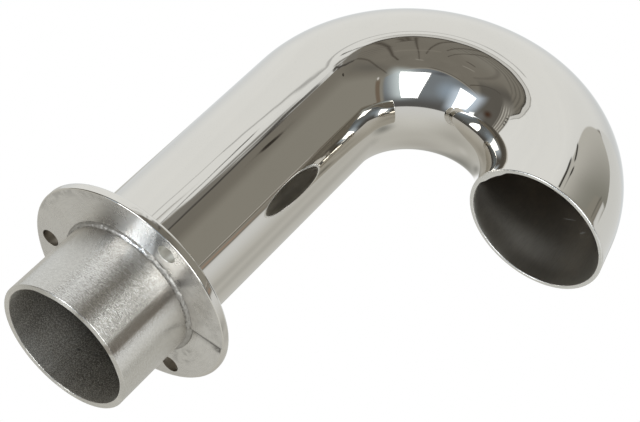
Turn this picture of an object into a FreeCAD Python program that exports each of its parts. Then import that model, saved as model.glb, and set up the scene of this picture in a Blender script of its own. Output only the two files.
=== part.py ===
"""Swan-neck deck cable gland in stainless steel, in millimetres and degrees.

The origin is on the deck plane, in the middle of the flange. +Z points up from the deck, along
the straight leg of the neck. The neck bends over towards +X, so that its mouth looks back down
at the deck and sheds the rain. The spigot goes down through the deck.
"""

import FreeCAD, Part
import math
import os
import Sketcher

OUT = "parts"
NEAR = 0.001

SIZES = {
    # The neck is one bent tube. Its mouth is cut parallel to the deck.
    "neck_diameter": 50.0,
    "neck_wall": 1.5,
    "neck_rise": 98.7,
    "bend_radius": 44.7,
    "bend_angle": 168.3,
    "mouth_tail": 6.8,
    "mouth_edge": 0.6,
    # The flange rises from its rim to the neck, which sits in its top on a shoulder.
    "flange_height": 6.0,
    "rim_height": 3.3,
    "rim_lower_edge": 0.7,
    "rim_upper_edge": 0.9,
    "seat_height": 2.5,
    "shoulder": 0.5,
    "slip_fit": 0.1,
    # The screws stand on a circle round the neck, and the rim lies outside them.
    "screw_count": 3,
    "screw_hole": 6.4,
    "screw_reach": 7.5,
    "rim_reach": 5.9,
    # One screw hole stands in a patch that was ground a little lower.
    "patch_angle": 113.2,
    "patch_depth": 0.45,
    "patch_edge": 1.3,
    # The spigot is a sleeve that goes down through the deck. Its root is turned down for its seat.
    "spigot_wall": 2.1,
    "spigot_drop": 30.6,
    "spigot_edge": 0.5,
    "root_step": 0.5,
    # The weld fills a bevel under the flange and stands out of it as far as it reaches down.
    "weld_leg": 1.2,
    # How far a cut starts outside the metal.
    "cut_margin": 2.0,
}

FOLLOWS = {
    "neck_outside": "neck_diameter / 2",
    "seat_outside": "neck_outside + slip_fit / 2",
    "spigot_outside": "neck_outside - shoulder",
    "spigot_inside": "spigot_outside - spigot_wall",
    "root_outside": "spigot_outside - root_step",
    "bore_outside": "root_outside + slip_fit / 2",
    "weld_toe": "spigot_outside + weld_leg",
    "screw_offset": "neck_outside + screw_reach",
    "flange_outside": "screw_offset + rim_reach",
    "hole_azimuth": "180 - 360 / screw_count",
    "mouth_height": "neck_rise + bend_radius * sin( bend_angle ) + mouth_tail * cos( bend_angle )",
    "mouth_slant": "neck_outside * abs( tan( bend_angle ) )",
}

doc = FreeCAD.newDocument("deck_cable_gland")


def write_sizes():
    """The driving dimensions, one row each: the name beside its value."""
    table = doc.addObject("Spreadsheet::Sheet", "sizes")
    for row, (name, size) in enumerate(SIZES.items(), 1):
        table.set(f"A{row}", name)
        table.set(f"B{row}", str(size))
        table.setAlias(f"B{row}", name)
    doc.recompute()
    return table


sheet = write_sizes()


def bound(expression):
    """The expression with each name written as the sheet's own cell."""
    words = []
    for word in expression.split():
        if word in FOLLOWS:
            word = f"( {bound(FOLLOWS[word])} )"
        elif word in SIZES:
            word = f"{sheet.Name}.{word}"
        words.append(word)
    return " ".join(words)


def amount(expression):
    """What the expression comes to with the sizes in the sheet."""
    return float(sheet.evalExpression(bound(expression)))


def new_body(name):
    body = doc.addObject("PartDesign::Body", name)
    body.Label = name
    body.Placement = FreeCAD.Placement()
    return body


def new_sketch(body, name, role):
    """A sketch on one of the body's own origin planes."""
    sketch = body.newObject("Sketcher::SketchObject", name)
    plane = next(item for item in body.Origin.OriginFeatures if item.Role == role)
    sketch.AttachmentSupport = (plane, [""])
    sketch.MapMode = "FlatFace"
    return sketch


def level_sketch(body, name, height):
    """A level sketch at a height above the deck."""
    sketch = new_sketch(body, name, "XY_Plane")
    sketch.setExpression("AttachmentOffset.Base.z", bound(height))
    doc.recompute()
    return sketch


def upright_sketch(body, name, azimuth="0"):
    """An upright sketch through Z: across is the distance from Z at this azimuth, up is Z."""
    sketch = new_sketch(body, name, "XZ_Plane")
    turn = FreeCAD.Rotation(FreeCAD.Vector(0, 1, 0), amount(azimuth))
    sketch.AttachmentOffset = FreeCAD.Placement(FreeCAD.Vector(), turn)
    sketch.setExpression("AttachmentOffset.Rotation.Angle", bound(azimuth))
    doc.recompute()
    return sketch


def hold(sketch, kind, where, expression):
    """One driving constraint, bound to the sheet."""
    size = amount(expression)
    if kind == "Angle":
        size = math.radians(size)
    number = sketch.addConstraint(Sketcher.Constraint(kind, *where, size))
    sketch.setExpression(f"Constraints[{number}]", bound(expression))


def hold_point(sketch, edge, end, across, up):
    """Holds a point of an edge at its distances from the sketch's origin."""
    hold(sketch, "DistanceX", (-1, 1, edge, end), across)
    hold(sketch, "DistanceY", (-1, 1, edge, end), up)


def draw_outline(sketch, corners):
    """A closed outline of straight edges through corners, each held by two expressions."""
    points = [FreeCAD.Vector(amount(across), amount(up), 0) for across, up in corners]
    edges = []
    for start, end in zip(points, points[1:] + points[:1]):
        edges.append(sketch.addGeometry(Part.LineSegment(start, end), False))
    for edge, following in zip(edges, edges[1:] + edges[:1]):
        sketch.addConstraint(Sketcher.Constraint("Coincident", edge, 2, following, 1))
    for edge, corner in zip(edges, corners):
        hold_point(sketch, edge, 1, *corner)


def draw_ring(sketch, radius, wall):
    """Two circles about the sketch's origin: a radius and a wall inside it."""
    for size in (radius, f"{radius} - {wall}"):
        circle = Part.Circle(FreeCAD.Vector(), FreeCAD.Vector(0, 0, 1), amount(size))
        edge = sketch.addGeometry(circle, False)
        sketch.addConstraint(Sketcher.Constraint("Coincident", edge, 3, -1, 1))
        hold(sketch, "Radius", (edge,), size)


def turned(body, kind, name, sketch, angle="360"):
    """A sketch turned about Z, to add metal or to cut it away."""
    feature = body.newObject(kind, name)
    feature.Profile = sketch
    feature.ReferenceAxis = (sketch, ["V_Axis"])
    feature.setExpression("Angle", bound(angle))
    doc.recompute()
    return feature


def bevelled(body, name, base, belongs, size):
    """A bevel along each edge of the base that belongs."""
    names = [f"Edge{i}" for i, edge in enumerate(base.Shape.Edges, 1) if belongs(edge)]
    feature = body.newObject("PartDesign::Chamfer", name)
    feature.Base = (base, names)
    feature.setExpression("Size", bound(size))
    doc.recompute()
    return feature


def lies_outside_mouth():
    """A test for the outer edge of the mouth, at the mouth's height and a radius from its middle."""
    reach = amount("bend_radius - bend_radius * cos( bend_angle ) + mouth_tail * sin( bend_angle )")
    middle = FreeCAD.Vector(reach, 0, amount("mouth_height"))
    outside = amount("neck_outside")

    def belongs(edge):
        places = [p - middle for p in edge.discretize(9)]
        return all(abs(p.z) < NEAR and p.Length > outside - NEAR for p in places)

    return belongs


def make_neck():
    """The swan neck: a tube along a straight leg, a tight bend and a short tail."""
    body = new_body("swan_neck_tube")
    section = level_sketch(body, "neck_section", "seat_height")
    draw_ring(section, "neck_outside", "neck_wall")
    path = draw_neck_path(body)
    tube = body.newObject("PartDesign::AdditivePipe", "bent_tube")
    tube.Profile = section
    tube.Spine = path
    doc.recompute()
    cut = cut_mouth(body)
    bevelled(body, "mouth_bevel", cut, lies_outside_mouth(), "mouth_edge")
    return body


def draw_neck_path(body):
    """The middle of the tube. It runs on past the mouth, so that the mouth can be cut slanting."""
    path = upright_sketch(body, "neck_path")
    foot = FreeCAD.Vector(0, amount("seat_height"), 0)
    top = FreeCAD.Vector(0, amount("neck_rise"), 0)
    centre = FreeCAD.Vector(amount("bend_radius"), amount("neck_rise"), 0)
    swing = math.radians(amount("bend_angle"))
    outward = FreeCAD.Vector(-math.cos(swing), math.sin(swing), 0)
    onward = FreeCAD.Vector(math.sin(swing), math.cos(swing), 0)
    bend_end = centre + outward * amount("bend_radius")
    tail = "mouth_tail + mouth_slant + cut_margin"

    leg = path.addGeometry(Part.LineSegment(foot, top), False)
    circle = Part.Circle(centre, FreeCAD.Vector(0, 0, 1), amount("bend_radius"))
    bend = path.addGeometry(Part.ArcOfCircle(circle, math.pi - swing, math.pi), False)
    end = path.addGeometry(Part.LineSegment(bend_end, bend_end + onward * amount(tail)), False)

    hold_point(path, leg, 1, "0", "seat_height")
    hold_point(path, leg, 2, "0", "neck_rise")
    hold_point(path, bend, 3, "bend_radius", "neck_rise")
    path.addConstraint(Sketcher.Constraint("Coincident", bend, 2, leg, 2))
    path.addConstraint(Sketcher.Constraint("Tangent", bend, 1, end, 1))
    hold(path, "Angle", (end,), "90 - bend_angle")
    hold(path, "Distance", (end,), tail)
    doc.recompute()
    return path


def cut_mouth(body):
    """Cuts the tail off level with the deck, clear of the leg on the other side of the bend."""
    sketch = level_sketch(body, "mouth_plane", "mouth_height")
    near, far = "bend_radius", "bend_radius * 2 + neck_diameter + mouth_tail"
    side = "neck_outside + cut_margin"
    corners = [(near, f"- ( {side} )"), (far, f"- ( {side} )"), (far, side), (near, side)]
    draw_outline(sketch, corners)
    cut = body.newObject("PartDesign::Pocket", "mouth_cut")
    cut.Profile = sketch
    cut.setExpression("Length", bound("neck_diameter"))
    doc.recompute()
    return cut


def make_flange():
    """The flange: a ring with the neck's seat in its top and a bevel for the weld below."""
    body = new_body("deck_flange")
    section = upright_sketch(body, "flange_section")
    corners = [
        ("bore_outside", "weld_toe - bore_outside"),
        ("weld_toe", "0"),
        ("flange_outside - rim_lower_edge", "0"),
        ("flange_outside", "rim_lower_edge"),
        ("flange_outside", "rim_height - rim_upper_edge"),
        ("flange_outside - rim_upper_edge", "rim_height"),
        ("seat_outside", "flange_height"),
        ("seat_outside", "seat_height"),
        ("bore_outside", "seat_height"),
    ]
    draw_outline(section, corners)
    turned(body, "PartDesign::Revolution", "rising_ring", section)
    cut_screw_holes(body)
    cut_ground_patch(body)
    return body


def cut_screw_holes(body):
    """Clearance holes straight through the flange. The first is behind the neck."""
    top = "flange_height + cut_margin"
    sketch = level_sketch(body, "screw_hole_place", top)
    middle = FreeCAD.Vector(-amount("screw_offset"), 0, 0)
    circle = Part.Circle(middle, FreeCAD.Vector(0, 0, 1), amount("screw_hole / 2"))
    edge = sketch.addGeometry(circle, False)
    hold_point(sketch, edge, 3, "0 - ( screw_offset )", "0")
    hold(sketch, "Radius", (edge,), "screw_hole / 2")
    hole = body.newObject("PartDesign::Pocket", "screw_hole")
    hole.Profile = sketch
    hole.setExpression("Length", bound(f"{top} + cut_margin"))
    doc.recompute()
    ring = body.newObject("PartDesign::PolarPattern", "screw_holes")
    ring.Originals = [hole]
    ring.Axis = (sketch, ["N_Axis"])
    ring.Angle = 360
    ring.setExpression("Occurrences", bound("screw_count"))
    body.Tip = ring
    doc.recompute()


def cut_ground_patch(body):
    """A shallow step round one screw hole, sloped at the weld and the rim. Its end is the crease."""
    sketch = upright_sketch(body, "patch_section", "hole_azimuth - patch_angle / 2")
    outside = "flange_outside + cut_margin"
    corners = [
        ("weld_toe", "0 - cut_margin"),
        (outside, "0 - cut_margin"),
        (outside, "patch_depth + patch_edge"),
        ("flange_outside", "patch_depth + patch_edge"),
        ("flange_outside - patch_edge", "patch_depth"),
        ("weld_toe + patch_depth", "patch_depth"),
        ("weld_toe", "0"),
    ]
    draw_outline(sketch, corners)
    patch = turned(body, "PartDesign::Groove", "ground_patch", sketch, "patch_angle")
    body.Tip = patch


def make_spigot():
    """The spigot: a sleeve from below the deck up to the neck's foot."""
    body = new_body("deck_spigot")
    section = upright_sketch(body, "spigot_section")
    corners = [
        ("spigot_inside", "0 - spigot_drop"),
        ("spigot_outside - spigot_edge", "0 - spigot_drop"),
        ("spigot_outside", "spigot_edge - spigot_drop"),
        ("spigot_outside", "0 - weld_leg"),
        ("root_outside", "0 - weld_leg"),
        ("root_outside", "seat_height"),
        ("spigot_inside", "seat_height"),
    ]
    draw_outline(section, corners)
    turned(body, "PartDesign::Revolution", "sleeve", section)
    return body


def make_weld():
    """The weld between spigot and flange. It fills the flange's bevel and slopes to the spigot."""
    body = new_body("weld_bead")
    section = upright_sketch(body, "weld_section")
    corners = [
        ("root_outside", "0 - weld_leg"),
        ("spigot_outside", "0 - weld_leg"),
        ("weld_toe", "0"),
        ("root_outside", "weld_toe - root_outside"),
    ]
    draw_outline(section, corners)
    turned(body, "PartDesign::Revolution", "bead", section)
    return body


def check_document(bodies):
    """Stops if any object of the document failed, or a sub-part isn't one sound solid."""
    doc.recompute()
    for item in doc.Objects:
        if "Invalid" in item.State or "Error" in item.State:
            raise RuntimeError(f"{item.Name} failed: {item.State}")
    for body in bodies:
        shape = body.Shape
        if shape.isNull() or not shape.isValid() or len(shape.Solids) != 1:
            raise RuntimeError(f"{body.Label} isn't one sound solid")


def write_parts(bodies):
    os.makedirs(OUT, exist_ok=True)
    for body in bodies:
        body.Shape.exportStep(f"{OUT}/{body.Label}.step")
        print(f"{body.Label}: {body.Shape.Volume:.0f} cubic mm")


bodies = [make_neck(), make_flange(), make_spigot(), make_weld()]
check_document(bodies)
write_parts(bodies)
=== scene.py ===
# %% [markdown]
# # A swan-neck deck cable gland in stainless steel
#
# Cables come up through the deck inside the spigot, climb the straight leg of the neck and leave
# by a mouth that looks back down, so that rain can't run in. The CAD model gives the exact
# places: the deck is the plane at height zero, the leg stands on it along Z, and the neck bends
# over towards X. This script gives that model its skin: mirror polish on the tube, turned and
# brushed steel on the flange and spigot, and a gritty bead of weld between them.

# %% Load the packed model
import math
from functools import reduce
from operator import and_, or_

import bmesh
import bpy
import numpy as np
from mathutils import Matrix, Vector, noise


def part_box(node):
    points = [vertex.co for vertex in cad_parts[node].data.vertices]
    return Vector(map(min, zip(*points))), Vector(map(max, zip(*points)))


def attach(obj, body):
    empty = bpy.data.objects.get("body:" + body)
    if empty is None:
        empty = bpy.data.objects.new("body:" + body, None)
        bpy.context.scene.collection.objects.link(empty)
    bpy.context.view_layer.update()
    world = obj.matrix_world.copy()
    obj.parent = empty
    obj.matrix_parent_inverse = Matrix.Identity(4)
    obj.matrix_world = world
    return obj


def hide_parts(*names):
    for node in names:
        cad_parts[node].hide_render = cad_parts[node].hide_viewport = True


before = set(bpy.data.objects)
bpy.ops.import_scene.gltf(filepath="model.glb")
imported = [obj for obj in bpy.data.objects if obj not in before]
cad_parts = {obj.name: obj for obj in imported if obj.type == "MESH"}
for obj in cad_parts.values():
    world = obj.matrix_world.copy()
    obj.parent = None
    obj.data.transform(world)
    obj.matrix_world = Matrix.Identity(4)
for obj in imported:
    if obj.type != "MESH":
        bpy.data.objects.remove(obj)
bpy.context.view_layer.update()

# %% [markdown]
# ## Sizes
#
# A fitter would measure each tube with a caliper. Here the boxes of the packed nodes give the
# same readings, so the pieces below follow the CAD model if it is made in another size. Only what
# a box can't show, such as the bend's radius or the rounding of an edge, is written down.

# %% Read the sizes from the packed nodes
neck_low, neck_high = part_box("swan_neck_tube")
_, flange_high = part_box("deck_flange")
spigot_low, spigot_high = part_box("deck_spigot")
weld_low, weld_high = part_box("weld_bead")

SLIDING_FIT = 0.00005
NECK_RADIUS = neck_high.y
NECK_WALL = 0.0015
BEND_RADIUS = 0.0447
BEND_ANGLE = math.radians(168.3)
MOUTH_TAIL = 0.0068
LEG_TOP = neck_high.z - BEND_RADIUS - NECK_RADIUS
MOUTH_HEIGHT = LEG_TOP + BEND_RADIUS * math.sin(BEND_ANGLE) + MOUTH_TAIL * math.cos(BEND_ANGLE)

SEAT_HEIGHT = neck_low.z
SEAT_RADIUS = NECK_RADIUS + SLIDING_FIT
FLANGE_RADIUS = flange_high.y
FLANGE_TOP = flange_high.z
RIM_HEIGHT = 0.0033
SCREW_OFFSET = 0.0325
SCREW_HOLE_RADIUS = 0.0032
SCREW_TURNS = 60, 180, 300

SPIGOT_RADIUS = spigot_high.y
SPIGOT_WALL = 0.0021
SPIGOT_END = spigot_low.z
ROOT_STEP = 0.0005
ROOT_RADIUS = SPIGOT_RADIUS - ROOT_STEP
BORE_RADIUS = ROOT_RADIUS + SLIDING_FIT
WELD_TOE = weld_high.y
WELD_LEG = -weld_low.z

PATCH_START = math.radians(3.4)
PATCH_END = math.radians(116.6)
PATCH_DEPTH = 0.00045

print(f"leg {1000 * LEG_TOP:.1f} mm high, mouth at {1000 * MOUTH_HEIGHT:.1f} mm")
print(f"flange {2000 * FLANGE_RADIUS:.1f} mm wide, spigot {2000 * SPIGOT_RADIUS:.1f} mm")

# %% [markdown]
# ## Skins made of rings
#
# Every piece of this object is round about some line, so each can be made the way a potter makes
# a pot: ring upon ring of points, joined to their neighbours by four-sided faces. A modifier such
# as Screw could spin a profile too, but rings that a function works out may change on their way
# round, which the ground patch and the uneven weld need. Edges sharper than an angle stay crisp.

# %% A mesh from rings of points
def ring_skin(name, rings, finishes, finish_of_ring=None, crisp=35):
    """Joins rings of points into one closed skin, the last ring to the first."""
    rings = np.asarray(rings)
    count, around, _ = rings.shape
    faces = []
    for ring in range(count):
        after = (ring + 1) % count
        for place in range(around):
            beside = (place + 1) % around
            corners = (ring, place), (ring, beside), (after, beside), (after, place)
            faces.append([row * around + column for row, column in corners])
    mesh = bpy.data.meshes.new(name)
    mesh.from_pydata(rings.reshape(-1, 3), [], faces)
    if finish_of_ring is not None:
        mesh.polygons.foreach_set("material_index", np.repeat(finish_of_ring, around))
    mesh.polygons.foreach_set("use_smooth", [True] * len(mesh.polygons))
    for finish in finishes:
        mesh.materials.append(finish)
    outward = bmesh.new()
    outward.from_mesh(mesh)
    bmesh.ops.recalc_face_normals(outward, faces=outward.faces)
    outward.to_mesh(mesh)
    outward.free()
    mesh.set_sharp_from_angle(angle=math.radians(crisp))
    piece = bpy.data.objects.new(name, mesh)
    bpy.context.collection.objects.link(piece)
    print(f"{name}: {len(mesh.polygons)} faces")
    return piece


print("10 rings of 8 points make a skin of", 10 * 8, "faces")

# %% [markdown]
# Some things change on their way round: a burr starts and ends, a ground patch fades out. A jump
# would leave a step in the metal, so two small functions turn a place into a share that eases in
# and out, the way the hand that held the tool did.

# %% Shares of a circle
def eased(value, low, high):
    """Goes smoothly from 0 at low to 1 at high."""
    share = max(0.0, min(1.0, (value - low) / (high - low)))
    return share * share * (3 - 2 * share)


def arc(azimuth, start, end, soft):
    """Is 1 on an arc between two directions in degrees, and 0 off it."""
    off = abs((math.degrees(azimuth) - (start + end) / 2 + 180) % 360 - 180)
    return 1 - eased(off, (end - start) / 2 - soft, (end - start) / 2 + soft)


print("an arc from 0 to 40 degrees, every 10:", [
    round(arc(math.radians(turn), 0, 40, 5), 2) for turn in range(-10, 60, 10)])

# %% [markdown]
# A turned piece is drawn as half a section: corners at a distance from the axis and a height,
# some of them rounded. A rounding is a fan of points on a small circle that touches both of the
# edges that meet in the corner, which is what a file or a turning tool leaves on real metal.

# %% Round the corners of a section
ROUNDING_STEPS = 6


def rounded_section(corners):
    """Points along a closed section. Each corner is (distance from Z, height, rounding)."""
    points = []
    places = [Vector((across, up)) for across, up, _ in corners]
    for number, (_, _, rounding) in enumerate(corners):
        corner = places[number]
        back = (places[number - 1] - corner).normalized()
        on = (places[(number + 1) % len(places)] - corner).normalized()
        if rounding == 0:
            points.append(corner)
            continue
        half = back.angle(on) / 2
        centre = corner + (back + on).normalized() * rounding / math.sin(half)
        first = corner + back * rounding / math.tan(half) - centre
        last = corner + on * rounding / math.tan(half) - centre
        for step in range(ROUNDING_STEPS + 1):
            share = step / ROUNDING_STEPS
            spoke = first.lerp(last, share).normalized() * rounding
            points.append(centre + spoke)
    return points


square = [(0.01, 0, 0.001), (0.02, 0, 0.001), (0.02, 0.01, 0), (0.01, 0.01, 0)]
print("a square with two rounded corners has", len(rounded_section(square)), "points")


# %% Turn a section round Z
def turned_rings(section_at, columns):
    """Rings about Z. section_at gives the section's points at an azimuth."""
    azimuths = np.linspace(0, 2 * math.pi, columns, endpoint=False)
    sections = [section_at(azimuth) for azimuth in azimuths]
    rings = np.zeros((len(sections[0]), len(sections), 3))
    for column, (azimuth, section) in enumerate(zip(azimuths, sections)):
        for ring, (across, up) in enumerate(section):
            rings[ring, column] = across * math.cos(azimuth), across * math.sin(azimuth), up
    return rings


square_ring = turned_rings(lambda azimuth: rounded_section(square), 8)
print("rings, columns and coordinates of a square ring:", square_ring.shape)

# %% [markdown]
# ## A shorthand for shader nodes
#
# Procedural finishes are sums: how rough is the steel at this radius, how deep is this scratch.
# Written as nodes by hand, each plus and times would take four lines. The small class below
# wraps one socket, so that an expression in Python adds its Math nodes by itself. Masks are
# numbers from 0 to 1: times lets one through another, the bar lays one over another by taking
# the larger, and the ampersand takes the smaller. Python reads both after plus and times.

# %% Wrap a socket, so that Python's operators add Math nodes
class Amount:
    """A number that changes over a surface."""

    def __init__(self, graph, socket):
        self.graph = graph
        self.socket = socket

    def math(self, operation, *others):
        """Puts a Math node behind this number, and behind the others if it takes more."""
        values = dict(enumerate((self, *others)))
        return self.graph.add("ShaderNodeMath", {"operation": operation}, values)

    def __add__(self, other):
        return self.math("ADD", other)

    def __sub__(self, other):
        return self.math("SUBTRACT", other)

    def __mul__(self, other):
        return self.math("MULTIPLY", other)

    def __truediv__(self, other):
        return self.math("DIVIDE", other)

    def __rsub__(self, other):
        return (self * -1) + other

    def __neg__(self):
        return self * -1

    def __or__(self, other):
        return self.math("MAXIMUM", other)

    def __and__(self, other):
        return self.math("MINIMUM", other)

    def __abs__(self):
        return self.math("ABSOLUTE")

    __radd__ = __add__
    __rmul__ = __mul__

    def rises(self, low, high):
        """Goes smoothly from 0 at low to 1 at high."""
        settings = {"interpolation_type": "SMOOTHSTEP"}
        values = {"Value": self, "From Min": low, "From Max": high}
        return self.graph.add("ShaderNodeMapRange", settings, values)

    def within(self, low, high, soft):
        """Is 1 from low to high, and 0 outside by more than soft."""
        return self.rises(low - soft, low + soft) * (1 - self.rises(high - soft, high + soft))

    def near(self, middle, reach):
        """Is 1 at the middle and fades to 0 at the reach."""
        return 1 - abs(self - middle).rises(0, reach)


def length_of(across, up):
    """How long the sloping side is over two sides that meet at a right angle."""
    return (across * across + up * up).math("SQRT")


print("words of an amount:", [name for name in vars(Amount) if not name.startswith("__")])

# %% [markdown]
# All other nodes come from one method, which is given a node's type, its settings and the values
# or links of its sockets. The few that the finishes use often get a word of their own: a blend of
# two colours, a speckle of noise, a bump, and a scratch, which is a straight line through space.

# %% Add any node in one line
class Graph:
    """The nodes of one material, or of the world."""

    def __init__(self, owner):
        owner.use_nodes = True
        self.name = owner.name
        self.tree = owner.node_tree
        self.tree.nodes.clear()

    def add(self, kind, settings=None, values=None, take=0):
        """Adds a node, sets it up, feeds its sockets and returns one of its outputs."""
        node = self.tree.nodes.new(kind)
        for name, setting in (settings or {}).items():
            setattr(node, name, setting)
        for name, value in (values or {}).items():
            if isinstance(value, Amount):
                self.tree.links.new(value.socket, node.inputs[name])
            else:
                node.inputs[name].default_value = value
        return Amount(self, node.outputs[take]) if len(node.outputs) else node

    def blend(self, share, first, second):
        """A colour that goes from the first to the second as the share goes from 0 to 1."""
        colours = [(*c, 1) if isinstance(c, tuple) and len(c) == 3 else c for c in (first, second)]
        values = {0: share, 6: colours[0], 7: colours[1]}
        return self.add("ShaderNodeMix", {"data_type": "RGBA"}, values, take=2)

    def place(self):
        """Where a point is on the object: a vector, and its three distances."""
        point = self.add("ShaderNodeTexCoord", take="Object")
        parts = [self.add("ShaderNodeSeparateXYZ", None, {0: point}, take=i) for i in range(3)]
        return point, *parts

    def speckle(self, where, scale, detail=2.0, roughness=0.5):
        """Noise between 0 and 1."""
        values = {"Vector": where, "Scale": scale, "Detail": detail, "Roughness": roughness}
        return self.add("ShaderNodeTexNoise", None, values)

    def vector(self, across, along, up):
        """Three numbers as one vector."""
        return self.add("ShaderNodeCombineXYZ", None, {0: across, 1: along, 2: up})

    def bumped(self, height, distance):
        """The surface's normal, tilted by a height between 0 and 1 times a distance."""
        return self.add("ShaderNodeBump", None, {"Height": height, "Distance": distance})

    def scratch(self, start, end, width):
        """Is 1 along a straight line through space and 0 a width away from it."""
        reach = Vector(end) - Vector(start)
        point = self.add("ShaderNodeTexCoord", take="Object")
        offset = self.vectors("SUBTRACT", point, tuple(start))
        along = self.vectors("DOT_PRODUCT", offset, tuple(reach / reach.length_squared), take=1)
        along = (along | 0) & 1
        nearest = self.vectors("SCALE", tuple(reach), along)
        return 1 - self.vectors("DISTANCE", offset, nearest, take=1).rises(0, width)

    def vectors(self, operation, first, second, take=0):
        """Vector Math, whose Scale has its number in the fourth socket."""
        values = {0: first, 3 if operation == "SCALE" else 1: second}
        return self.add("ShaderNodeVectorMath", {"operation": operation}, values, take)


print("words of a graph:", [name for name in vars(Graph) if not name.startswith("__")])

# %% [markdown]
# Every finish starts with a new material and the place of a point on the object, and ends in a
# shader. Most of them are all metal. Blender's Principled shader covers every kind of steel here
# with three values: the colour it tints reflections with, how rough it is, and how its surface
# is tilted.

# %% Start and end a material
def steel(graph, colour, roughness, normal=None, **others):
    """A metal shader."""
    values = {"Base Color": colour, "Metallic": 1.0, "Roughness": roughness, **others}
    if normal is not None:
        values["Normal"] = normal
    return graph.add("ShaderNodeBsdfPrincipled", None, values)


def new_finish(name):
    """A material and its graph, with its place on the object: a vector and three distances."""
    finish = bpy.data.materials.new(name)
    graph = Graph(finish)
    return finish, graph, graph.place()


def spread_and_turn(across, beside):
    """How far a point is from Z, and in which direction, in degrees."""
    return length_of(across, beside), beside.math("ARCTAN2", across).math("DEGREES")


def cover(graph, shader):
    """Ends a material in its shader."""
    graph.add("ShaderNodeOutputMaterial", None, {"Surface": shader})
    print(f"{graph.name}: {len(graph.tree.nodes)} nodes")


print("a finish goes from new_finish to steel to cover")

# %% [markdown]
# ## Finishes
#
# The whole object is one metal, stainless steel, and yet no two of its surfaces look alike,
# because each was left by another tool. So every finish below starts from the same metal shader
# and asks what the tool did: how rough it left the steel, in which direction, and where.
#
# ### Mirror polish
#
# The tube was buffed with a cloth wheel until it mirrors the room. A low roughness alone looks
# like chrome on a computer, though. Buffing leaves waves too shallow to feel and smears that
# scatter a little light. One noise tilts the surface by some hundredths of a millimetre, and
# another lifts the roughness here and there.

# %% Mirror polish for the tube
def polished_tube():
    """Polished steel, with the faint unevenness that a buffing wheel leaves."""
    finish, graph, (point, *_) = new_finish("mirror_polish")
    smears = graph.speckle(point, 45, 4.0, 0.6)
    swells = graph.speckle(point, 70, 1.0)
    colour = graph.blend(smears, (0.71, 0.68, 0.63), (0.68, 0.655, 0.61))
    roughness = 0.03 + smears.rises(0.45, 0.8) * 0.03
    cover(graph, steel(graph, colour, roughness, graph.bumped(swells, 0.00003)))
    return finish


mirror_polish = polished_tube()

# %% [markdown]
# ### The inside of the neck
#
# Nobody polishes the inside of a tube. It keeps the skin of the mill that drew it: dull, with
# long fine lines. Farther in it is painted darker, as shade, and so is a narrow band nearer the
# mouth. By the mouth the colour is painted brighter, as highlights of the light that falls in
# there, and the steel is rougher. A point's height above the deck tells the shader how far in it
# lies. The scratches by the mouth could come from a noise too, but they are three and lie where
# they lie, so each is a straight line through space that is given by its two ends.

# %% Dull steel for the inside of the neck, with scratches by the mouth
MOUTH_SCRATCHES = [
    # both ends, width and share
    ((0.0865, 0.0225, 0.1302), (0.092, 0.0201, 0.1305), 0.00025, 1.0),
    ((0.0885, 0.0228, 0.1178), (0.1004, 0.0168, 0.124), 0.0002, 0.8),
    ((0.0965, 0.0190, 0.1255), (0.0990, 0.0175, 0.1262), 0.00035, 1.0),
]


def inside_of_the_neck():
    """Drawn steel, with painted shade far in, painted highlights by the mouth, and scratches."""
    finish, graph, (point, across, beside, up) = new_finish("drawn_inside")
    lines = graph.speckle(graph.vector(across * 1600, beside * 1600, up * 130), 1.0, 3.0, 0.65)
    stains = graph.speckle(point, 70, 4.0, 0.6)
    height = up + stains * 0.006
    # Painted shade: the colour goes dark farther into the tube, where less light reaches.
    deep_shade = height.rises(0.116, 0.139)
    # Painted highlight where light from the mouth falls on the wall; the steel is rougher there
    # too.
    rough_sheen = height.near(0.1170, 0.011) * across.within(0.068, 0.095, 0.012)
    colour = graph.blend(stains, (0.72, 0.69, 0.63), (0.86, 0.84, 0.79))
    colour = graph.blend(rough_sheen * 0.6, colour, (1.0, 0.985, 0.94))
    colour = graph.blend(deep_shade * 0.7, colour, (0.36, 0.31, 0.26))
    shaded = height.within(0.1060, 0.1115, 0.003)
    colour = graph.blend(shaded * 0.35, colour, (0.45, 0.42, 0.38))
    # Painted highlight just inside the lip, where light from outside falls; rougher steel there
    # too.
    lip_rough_sheen = height.near(0.1035, 0.0040) * (1 - across.rises(0.074, 0.088)) * stains.rises(0.35, 0.6)
    colour = graph.blend(lip_rough_sheen * 0.8, colour, (1.0, 1.0, 0.97))
    colour = graph.blend(lines.rises(0.35, 0.75) * 0.15, colour, (0.30, 0.28, 0.25))
    marks = reduce(or_, [
        graph.scratch(start, end, width) * share for start, end, width, share in MOUTH_SCRATCHES])
    colour = graph.blend(marks * 0.8, colour, (1.0, 1.0, 0.97))
    roughness = 0.34 + stains * 0.08 + (rough_sheen * 0.09 | marks * 0.4) + lip_rough_sheen * 0.3
    cover(graph, steel(graph, colour, roughness, graph.bumped(lines, 0.00001)))
    return finish


drawn_inside = inside_of_the_neck()

# %% [markdown]
# ### The mouth's cut edge
#
# The mouth was sawn off level and its edge filed by hand. A file leaves strokes under a
# millimetre apart. From here they only break up the light along the edge, so a fine noise in
# roughness and bump does for them.

# %% Filed steel for the mouth's cut edge
def filed_edge():
    """Filed steel: bright, with short strokes."""
    finish, graph, (point, *_) = new_finish("filed_lip")
    strokes = graph.speckle(point, 800, 2.0, 0.6)
    colour = graph.blend(strokes, (0.78, 0.77, 0.74), (0.90, 0.89, 0.87))
    cover(graph, steel(graph, colour, 0.20 + strokes * 0.12, graph.bumped(strokes, 0.00004)))
    return finish


filed_lip = filed_edge()
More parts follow.
